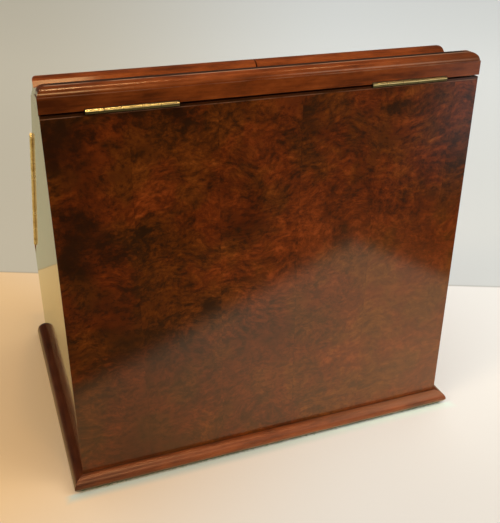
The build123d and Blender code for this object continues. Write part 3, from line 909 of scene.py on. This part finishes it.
LEAF_LINE = 5.2 * MM
LID_LEAF_GAP = 0.75 * MM
LID_SCREW_STEP = 22 * MM
DOOR_SCREW_STEP_MM = 36
DOOR_LEAF_GAP = 0.2 * MM
DOOR_HEAD_PROUD = 0.08 * MM
hinge_middle = middle_x("lid_hinge_leaf_right")
lid_pin = Vector(hinges["lid_hinge"]["pos_m"])
for hand, side in HANDS:
    row = [hand * hinge_middle + step * LID_SCREW_STEP for step in (-1, 0, 1)]
    below = [Vector((x, lid_pin.y - LEAF_LINE, lid_pin.z - LID_LEAF_GAP)) for x in row]
    above = [Vector((x, lid_pin.y - LEAF_LINE, lid_pin.z + LID_LEAF_GAP)) for x in row]
    screw_set("lid_leaf_screws_" + side, "case", below, (0, 0, 1))
    screw_set("lid_strap_screws_" + side, "lid", above, (0, 0, -1))
    pin = Vector((hand * DOOR_PIN.x, DOOR_PIN.y, DOOR_PIN.z))
    line = [pin - Vector((hand * LEAF_LINE, 0, 0)) + UP_SLOPE * DOOR_SCREW_STEP_MM * MM * step
            for step in (-2.5, -1.5, -0.5, 0.5, 1.5, 2.5)]
    leaf = [point - DOOR_LEAF_GAP * OUTWARD for point in line]
    strap = [point + DOOR_LEAF_GAP * OUTWARD for point in line]
    screw_set("door_leaf_screws_" + side, "case", leaf, OUTWARD, thick=DOOR_HEAD_PROUD)
    screw_set("door_strap_screws_" + side, side + "_door", strap, -OUTWARD, thick=DOOR_HEAD_PROUD)
print("hinge screws in place")

# %% [markdown]
# ## Screws and pins of the lock
# The lock is held inside the door by four screws through the corners of its plate, and its
# strike by two. Outside, two domed pins hold the keyhole plate.

# %% Lock fastenings
PLATE_LOW = Vector((3.6, 151.0, -0.8)) * MM
PLATE_HIGH = Vector((46.0, 185.0, 0.4)) * MM
PIN_RADIUS = 0.7 * MM
HINGE_MIDDLE = 129.0 * MM
CORNER_IN = 2.6 * MM
STRIKE_SCREWS = (160.0 * MM, 176.0 * MM)
STRIKE_DEPTH = -0.6 * MM
KEYHOLE_PINS = (160.6 * MM, 175.4 * MM)
KEYHOLE_DEPTH = 17.0 * MM
foot = DOOR_PIN - HINGE_MIDDLE * UP_SLOPE - 0.2 * MM * OUTWARD


def on_slope(x, along, depth):
    """A point from its place across, up the slope from the foot of the doors, and outwards."""
    return Vector((x, foot.y, foot.z)) + along * UP_SLOPE + depth * OUTWARD


plate_screws = [on_slope(x, along, PLATE_LOW.z)
                for x in (PLATE_LOW.x + 3 * CORNER_IN, PLATE_HIGH.x - 3 * CORNER_IN)
                for along in (PLATE_LOW.y + 0.6 * CORNER_IN, PLATE_HIGH.y - 0.6 * CORNER_IN)]
screw_set("lock_plate_screws", "right_door", plate_screws, -OUTWARD, radius=1.3 * MM,
          thick=0.25 * MM)
strike_screws = [on_slope(middle_x("lock_strike"), along, STRIKE_DEPTH)
                 for along in STRIKE_SCREWS]
screw_set("strike_screws", "left_door", strike_screws, -OUTWARD, radius=1.5 * MM, thick=0.2 * MM)

keyhole_x = middle_x("lock_escutcheon")
swell = np.linspace(0, pi / 2, 6)
domes = []
for along in KEYHOLE_PINS:
    dome = turned("dome", [0, *(PIN_RADIUS * np.cos(swell))],
                  [0, *(0.6 * PIN_RADIUS * np.sin(swell))], 18)
    domes.append(moved(dome, on_slope(keyhole_x, along, KEYHOLE_DEPTH), OUTWARD))
keyhole_pins = joined("keyhole_pins", domes)
dress(keyhole_pins, brass)
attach(keyhole_pins, "right_door")
print("lock fastened with", len(plate_screws) + len(strike_screws), "screws")

# %% [markdown]
# ## Turned knobs
# A brass knob is turned on a lathe, so its outline is a smooth curve: a low dished rose, a thin
# neck that swells into a rounded head, and a small nipple left by the last cut. The profile is
# made of arcs, each a radius and a height as the sine and cosine of an angle.

# %% Knobs
KNOB_HEAD = 5.4 * MM
KNOB_NECK = 2.1 * MM
ROSE = 5.0 * MM
ROSE_EDGE = 0.8 * MM
ROSE_MIDDLE = ROSE - ROSE_EDGE
knob_low, knob_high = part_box("drawer_knob_right")
KNOB_REACH = knob_high.y - knob_low.y
KNOB_HEIGHT = (knob_low.z + knob_high.z) / 2


def arc(centre_r, centre_h, size_r, size_h, start, end, count=9):
    """Points of an ellipse arc between two angles in degrees, 0 along the radius."""
    angle = np.radians(np.linspace(start, end, count))
    return np.stack([centre_r + size_r * np.cos(angle), centre_h + size_h * np.sin(angle)])


rose_edge = arc(ROSE_MIDDLE, 0.0, ROSE_EDGE, ROSE_EDGE, 0, 90)
neck = arc(ROSE_MIDDLE, 3.3 * MM, ROSE_MIDDLE - KNOB_NECK, 2.5 * MM, 270, 180)
belly = arc(KNOB_NECK, 5.6 * MM, KNOB_HEAD - KNOB_NECK, 2.1 * MM, -80, 70, 16)
nipple = arc(0.0, KNOB_REACH - 1.0 * MM, 1.5 * MM, 1.0 * MM, 0, 90, 8)
profile = np.concatenate([[[0], [0]], rose_edge, neck, belly, nipple], axis=1)
for _, side in HANDS:
    node = "drawer_knob_" + side
    knob = turned("turned_knob_" + side, profile[0], profile[1], 48)
    moved(knob, (middle_x(node), knob_high.y, KNOB_HEIGHT), (0, -1, 0))
    dress(knob, brass)
    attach(knob, "drawer")
    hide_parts(node)
print("knobs", round(1000 * KNOB_REACH, 1), "mm proud")

# %% [markdown]
# ## The cloth underneath
# Green baize is glued under the box so that it won't scratch the table. It is cut with
# scissors, so its edge wanders a little, and the fibres at the rim have loosened into a pale
# fuzz. The rim is a band of rows that runs once round a rounded rectangle: each row is the
# outline moved in or out and up or down. The fuzz is a row of short tufts that lean outwards.

# %% Baize
CLOTH_X = cloth_high.x
CLOTH_Y = cloth_high.y
CLOTH_THICK = cloth_high.z
CLOTH_CORNER = 2.5 * MM
RIM_POINTS = 1400


def cloth_outline(count):
    """Points and outward directions evenly spaced round the cut edge of the cloth."""
    half_x = CLOTH_X - CLOTH_CORNER
    half_y = CLOTH_Y - CLOTH_CORNER
    runs = np.array([2 * half_x, 2 * half_y, 2 * half_x, 2 * half_y])
    place = np.linspace(0, runs.sum(), count, endpoint=False)
    side = np.searchsorted(np.cumsum(runs), place, side="right")
    along = place - np.concatenate([[0], np.cumsum(runs)])[side]
    start = np.array([(-half_x, -half_y), (half_x, -half_y), (half_x, half_y),
                      (-half_x, half_y)])[side]
    forward = np.array([(1, 0), (0, 1), (-1, 0), (0, -1)])[side]
    out = np.array([(0, -1), (1, 0), (0, 1), (-1, 0)])[side]
    corner = start + forward * along[:, None]
    return corner + out * CLOTH_CORNER, out.astype(float)


edge, out = cloth_outline(RIM_POINTS)
dice = np.random.default_rng(7)
lap = np.linspace(0, 2 * pi, RIM_POINTS, endpoint=False)
wander = sum(np.sin(lap * turns + dice.uniform(0, 6)) / turns ** 0.4 for turns in
             (3, 7, 16, 37, 90, 210, 430))
wander = 0.10 * MM * (wander - wander.max()) / 2
heights = np.array([0.0, 0.0, 0.25, 0.6, 0.9, 1.0, 1.0]) * CLOTH_THICK
insets = np.array([8.0, 0.35, 0.0, 0.0, 0.15, 0.45, 8.0]) * MM
rows = [np.column_stack([edge + out * (wander * (inset < 1 * MM) - inset)[:, None],
                         np.full(RIM_POINTS, height)])
        for inset, height in zip(insets, heights)]
cloth = woven("baize_cloth", np.stack(rows))
closed(cloth, smooth=False, ends=(slice(0, RIM_POINTS), slice(-RIM_POINTS, None)))

TUFTS = 4200
ROOT_IN = 0.35 * MM
TUFT_HALF = 0.13 * MM
TUFT_THICK = 0.10 * MM
tuft_edge, tuft_out = cloth_outline(TUFTS)
reach = (0.5 + 2.9 * dice.uniform(0, 1, TUFTS) ** 1.6) * MM
tuft_out_3 = np.column_stack([tuft_out, np.zeros(TUFTS)])
tuft_side = np.column_stack([-tuft_out[:, 1], tuft_out[:, 0], np.zeros(TUFTS)])
tuft_root = np.column_stack([tuft_edge, dice.uniform(0.1, 0.9, TUFTS) * CLOTH_THICK])
tuft_root -= ROOT_IN * tuft_out_3
lean = dice.normal(0, 0.35, TUFTS)[:, None] * tuft_side * MM
droop = np.column_stack([np.zeros((TUFTS, 2)), dice.uniform(-0.6, 0.3, TUFTS) * MM])
tip = tuft_root + (reach + ROOT_IN)[:, None] * tuft_out_3 + lean + droop
tip[:, 2] = np.clip(tip[:, 2], 0.05 * MM, CLOTH_THICK)
half = TUFT_HALF * tuft_side
lift = np.array([0, 0, TUFT_THICK])
tuft_root[:, 2] = np.clip(tuft_root[:, 2], 0.12 * MM, CLOTH_THICK - 0.12 * MM)
corners = np.stack([tuft_root + half, tuft_root - half, tuft_root + lift, tip], axis=1)
first = 4 * np.arange(TUFTS)[:, None]
TUFT_FACES = ((0, 1, 3), (1, 2, 3), (2, 0, 3), (0, 2, 1))
sides = np.concatenate([first + np.array(face) for face in TUFT_FACES])
fuzz = mesh_object("baize_fuzz", corners.reshape(-1, 3), sides.tolist())
closed(fuzz, smooth=False, melt=0.0)
print("cloth rim of", RIM_POINTS, "points and", TUFTS, "tufts")

# %% [markdown]
# ### Baize finish
# Baize is a felted wool: no weave shows, only a short tangled nap, darker where it is pressed
# and paler where the cut ends of the fibres stand up. Sheen gives the soft rim of light.

# %% Baize finish
BAIZE_DEEP = tone(16, 66, 38)
BAIZE_GREEN = tone(34, 104, 62)
FIBRE_GREEN = tone(62, 118, 44)
FIBRE_PALE = tone(136, 172, 112)


def baize_finish(name, low, middle, high):
    """Felted wool in three greens."""
    material, shader = finish_of(name)
    coords = object_coords()
    nap = noise(coords, 1400.0, 4.0, 0.7)
    press = noise(coords, 60.0, 3.0)
    level = summed([(nap, 1.0), (press, 0.6)])
    fill(shader, {"Base Color": shades(level, [(0.3, low), (0.5, middle), (0.75, high)]),
                  "Roughness": 0.95, "Sheen Weight": 0.5, "Sheen Roughness": 0.4})
    bumped(shader, nap, 0.0003, 0.8)
    return material


dress(cloth, baize_finish("baize_felt", BAIZE_DEEP, BAIZE_GREEN, BAIZE_GREEN))
dress(fuzz, baize_finish("baize_fibres", BAIZE_GREEN, FIBRE_GREEN, FIBRE_PALE))
for piece in (cloth, fuzz):
    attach(piece, "case")
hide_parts("baize_underlay")
print("cloth", round(2000 * CLOTH_X), "x", round(2000 * CLOTH_Y), "mm")

# %% [markdown]
# ## The table and the wall
# The box stands on a pale table with a pale grey wall behind. Both are one large plane: beyond
# a straight line its colour changes from table to wall, which looks the same from the camera
# and leaves room for the doors and the drawer to open in other views. A lamp's warm pool of
# light is painted on the table. Painted light runs the wall from a cool daylit tone to a warm
# lamplit one, by the direction it is seen in, and makes it brighter with distance, and painted
# shade marks its foot. Close behind the box a painted shadow lies on the table, tinged green by
# light from the cloth. The real table ends a little way behind the box, and polished wood shows
# that: in reflections the plane turns dark past the edge of the table, and pale again across
# the room.

# %% Table and wall
TABLE_HALF = 6.0
# two points on each line
WALL_LINE = ((0.181, -0.283, 0.0), (-0.344, -0.054, 0.0))
TABLE_EDGE = ((0.157, 0.253, 0.0), (-0.265, 0.470, 0.0))
TABLE_END = ((-0.265, 0.470, 0.0), (-0.325, 0.330, 0.0))
ROOM_LINE = ((-0.140, 0.124, 0.0), (-0.920, 1.224, 0.0))
# painted light on the table: its daylit and lamplit tones, and where the lamp's pool lies
TABLE_DAYLIT = tone(242, 238, 230)
TABLE_LAMPLIT = tone(224, 186, 134)
LAMP_POOL = (0.42, -0.10, 0.0)
POOL_FULL = 0.24
POOL_END = 0.58
# painted light on the wall, and painted shade along its foot
WALL_DAYLIT = tone(212, 213, 208)
WALL_LAMPLIT = tone(186, 177, 156)
WALL_FOOT_SHADE = tone(122, 112, 92)
PLAIN = tone(226, 222, 213)
# painted shadow close behind the box, tinged green by light from the cloth
SHADOW_MINT = tone(178, 192, 180)
SHADOW_MINT_PALE = tone(234, 252, 236)
SHADOW_REACH = 10.5 * MM
POLISH_TINT = (0.97, 1.0, 0.76, 1.0)
ROOM_DARK = tone(22, 14, 8)
ROOM_PALE = tone(196, 200, 204)
# where a change starts and ends, in metres, and for two of them the values there
TABLE_FADE = (0.10, 0.30, 1.0, 0.82)
PLAIN_ASIDE = (0.27, 0.49)
PLAIN_BEHIND = (0.45, 0.75)
SHADOW_TURN = (0.08, -0.16)
WALL_LIGHT_LIFT = (1.0, 2.2, 1.0, 1.22)
ROOM_START = (0.5, 0.9)
DIM_ASIDE = (-0.05, 0.14)
DIM_BEHIND = (0.08, 0.16)
# the same for the line of sight: how far it goes sideways for each metre forwards
FAN_TURN = (-0.55, -0.03)
FAN_PLAIN = (0.05, 0.5)
# how soft each line is, in metres
WALL_SOFT = 0.0015
FOOT_SHADE_SOFT = 0.003
EDGE_SOFT = 0.02
ROOM_SOFT = 0.10


def past_line(coords, line, soft):
    """1 on the far side of a line on the table, seen from the box; 0 on the near side."""
    start, end = Vector(line[0]), Vector(line[1])
    run = (end - start).normalized()
    away = Vector((run.y, -run.x, 0.0))
    if away.dot(start) < 0:
        away = -away
    return beyond_plane(coords, away, start, soft)


def table_paint(coords):
    """The table: a painted pool of warm lamplight, a darker strip behind the box, and a painted
    shadow tinged with the cloth's green.
    """
    place = apart(coords)
    # painted pool of warm lamplight
    from_pool = vectors("DISTANCE", coords, LAMP_POOL)["Value"]
    warmth = between(from_pool, POOL_FULL, POOL_END, 1.0, 0.0)
    colour = mixed(warmth, TABLE_DAYLIT, TABLE_LAMPLIT)
    colour = tinted(colour, between(place[1], *TABLE_FADE))
    stray = maths("MAXIMUM", between(place[0], *PLAIN_ASIDE), between(place[1], *PLAIN_BEHIND))
    colour = mixed(stray, colour, PLAIN)
    # painted shadow close behind the box, tinged green by light from the cloth
    out_x = less(maths("ABSOLUTE", place[0]), FOOT.x)
    clear = maths("MAXIMUM", out_x, less(place[1], FOOT.y))
    behind = between(place[1], FOOT.y - 3.0 * MM, FOOT.y)
    mint_shadow = times(between(clear, 0.0, SHADOW_REACH, 0.8, 0.0), behind)
    return mixed(mint_shadow, colour, mixed(between(place[0], *SHADOW_TURN), SHADOW_MINT, SHADOW_MINT_PALE))


def wall_paint(coords):
    """The wall, with painted light: cool daylight to warm lamplight by the line of sight, and
    brighter with distance.
    """
    offset = vectors("SUBTRACT", coords, (CAMERA_PLACE.x, CAMERA_PLACE.y, 0.0))[0]
    offsets = apart(offset)
    fan = maths("DIVIDE", offsets[0], times(offsets[1], -1.0))
    # painted light: daylit to lamplit, and brighter with distance
    colour = mixed(between(fan, *FAN_TURN), WALL_DAYLIT, WALL_LAMPLIT)
    distance = vectors("LENGTH", offset)["Value"]
    colour = tinted(colour, between(distance, *WALL_LIGHT_LIFT))
    return mixed(between(fan, *FAN_PLAIN), colour, PLAIN)


def in_polish(coords, painted):
    """The table as polish shows it: yellower, and dimmer on the right-hand side of the box."""
    place = apart(coords)
    shown = tinted(painted, POLISH_TINT)
    dimmed = tinted(shown, mixed(between(place[1], *DIM_BEHIND), grey(0.89), grey(0.66)))
    return mixed(between(place[0], *DIM_ASIDE), shown, dimmed)


corners = [(x * TABLE_HALF, y * TABLE_HALF, 0) for x, y in ((-1, -1), (1, -1), (1, 1), (-1, 1))]
table = mesh_object("table_top", corners, [(0, 1, 2, 3)])
table_finish, shader = finish_of("table_and_wall")
coords = object_coords()
past_table = past_line(coords, WALL_LINE, WALL_SOFT)
painted = mixed(past_table, table_paint(coords), wall_paint(coords))
# painted shade along the foot of the wall
joint = past_line(coords, WALL_LINE, FOOT_SHADE_SOFT)
joint = times(joint, less(1.0, joint))
painted = mixed(times(joint, 1.6), painted, WALL_FOOT_SHADE)
unseen = less(1.0, add("LightPath").outputs["Is Camera Ray"])
off_table = maths("MAXIMUM", past_line(coords, TABLE_EDGE, EDGE_SOFT),
                  past_line(coords, TABLE_END, EDGE_SOFT))
pale_room = past_line(coords, ROOM_LINE, ROOM_SOFT)
pale_room = times(pale_room, between(apart(coords)[1], *ROOM_START))
room_floor = mixed(pale_room, ROOM_DARK, ROOM_PALE)
painted = mixed(unseen, painted, in_polish(coords, painted))
fill(shader, {"Base Color": mixed(times(off_table, unseen), painted, room_floor),
              "Roughness": 0.5, "Specular IOR Level": 0.3})
dress(table, table_finish)
print("lamp's pool reaches", POOL_END, "m")

# %% [markdown]
# ## Light
# Soft daylight comes from all round. What polished wood and brass show of the room is not the
# same everywhere: the pale wall in front of the box is bright, and the room behind the camera
# is dark. So reflections see a world that fades from bright towards -Y to dark towards +Y.
# A broad window stands high on the camera's right. It is split in two: most of its light makes
# no reflection, and a weak twin in the same place gives the glint. Three lamps do the
# opposite: they show only in polish and brass. A row of small warm spots on the ceiling draws
# the bright touches along the rounded mouldings.

# %% World and lamps
DAYLIGHT = tone(238, 240, 242)
ROOM_SHADE = tone(40, 30, 22)
WALL_SHINE = tone(60, 52, 42)
WORLD_STRENGTH = 1.05
WINDOW = ((-1.5, 1.1, 1.5), (0, 0, 0.15), 1.0, 1.0)
WINDOW_WHITE = tone(252, 252, 252)
SPOT_WARM = tone(255, 214, 150)
SPOTS = ((0.0, 2.2), (-0.18, 0.9), (-0.69, 0.7))
# for each lamp: its place, the point it faces, its width, height, power and colour
LAMPS = {
    "window_right": (*WINDOW, 13.0, WINDOW_WHITE),
    "window_glint": (*WINDOW, 3.0, WINDOW_WHITE),
    "lamp_left": ((1.3, 0.5, 1.3), (0.2, 0.1, 0.1), 0.5, 0.5, 6.0, tone(255, 224, 178)),
    "lamp_standing": ((-0.02, 1.75, 1.05), (0.15, 0.13, 0.33), 0.26, 0.40, 3.4,
                      tone(255, 216, 150)),
    "lamp_above": ((0.02, 0.28, 1.70), (0.14, 0.10, 0.33), 0.20, 0.10, 0.5, SPOT_WARM),
    "lamp_shelf": ((-1.15, 1.95, 0.80), (-0.12, 0.13, 0.32), 0.6, 0.6, 3.0,
                   tone(255, 240, 210)),
}
for x, power in SPOTS:
    LAMPS[f"ceiling_spot_{1000 * abs(x):.0f}"] = ((x, 0.55, 1.7), (0.1, 0.1, 0.3), 0.08, 0.08,
                                                  power, SPOT_WARM)
MAKES_NO_REFLECTION = ("window_right",)
ONLY_REFLECTED = ("lamp_standing", "lamp_above", "lamp_shelf")

world = bpy.data.worlds.new("room")
bpy.context.scene.world = world
world.use_nodes = True
begin(world.node_tree)
facing = apart(add("TexCoord").outputs["Generated"])
shine = times(between(facing[1], -0.5, 0.2, 1.0, 0.0), between(facing[2], 0.0, 0.5, 1.0, 0.0))
is_glossy = add("LightPath").outputs["Is Glossy Ray"]
seen = mixed(is_glossy, DAYLIGHT, mixed(shine, ROOM_SHADE, WALL_SHINE))
fill(world.node_tree.nodes["Background"], {"Color": seen, "Strength": WORLD_STRENGTH})

for name, (place, aim, wide, high, power, colour) in LAMPS.items():
    data = bpy.data.lights.new(name, "AREA")
    data.shape = "RECTANGLE"
    data.size = wide
    data.size_y = high
    data.energy = power
    data.color = colour[:3]
    made = new_object(name, data)
    direction = (Vector(aim) - Vector(place)).normalized()
    made.rotation_euler = direction.to_track_quat("-Z", "Y").to_euler()
    made.location = place
    made.visible_glossy = name not in MAKES_NO_REFLECTION
    made.visible_diffuse = name not in ONLY_REFLECTED
bpy.context.scene.view_settings.view_transform = "Standard"
print(len(LAMPS), "lamps ready")
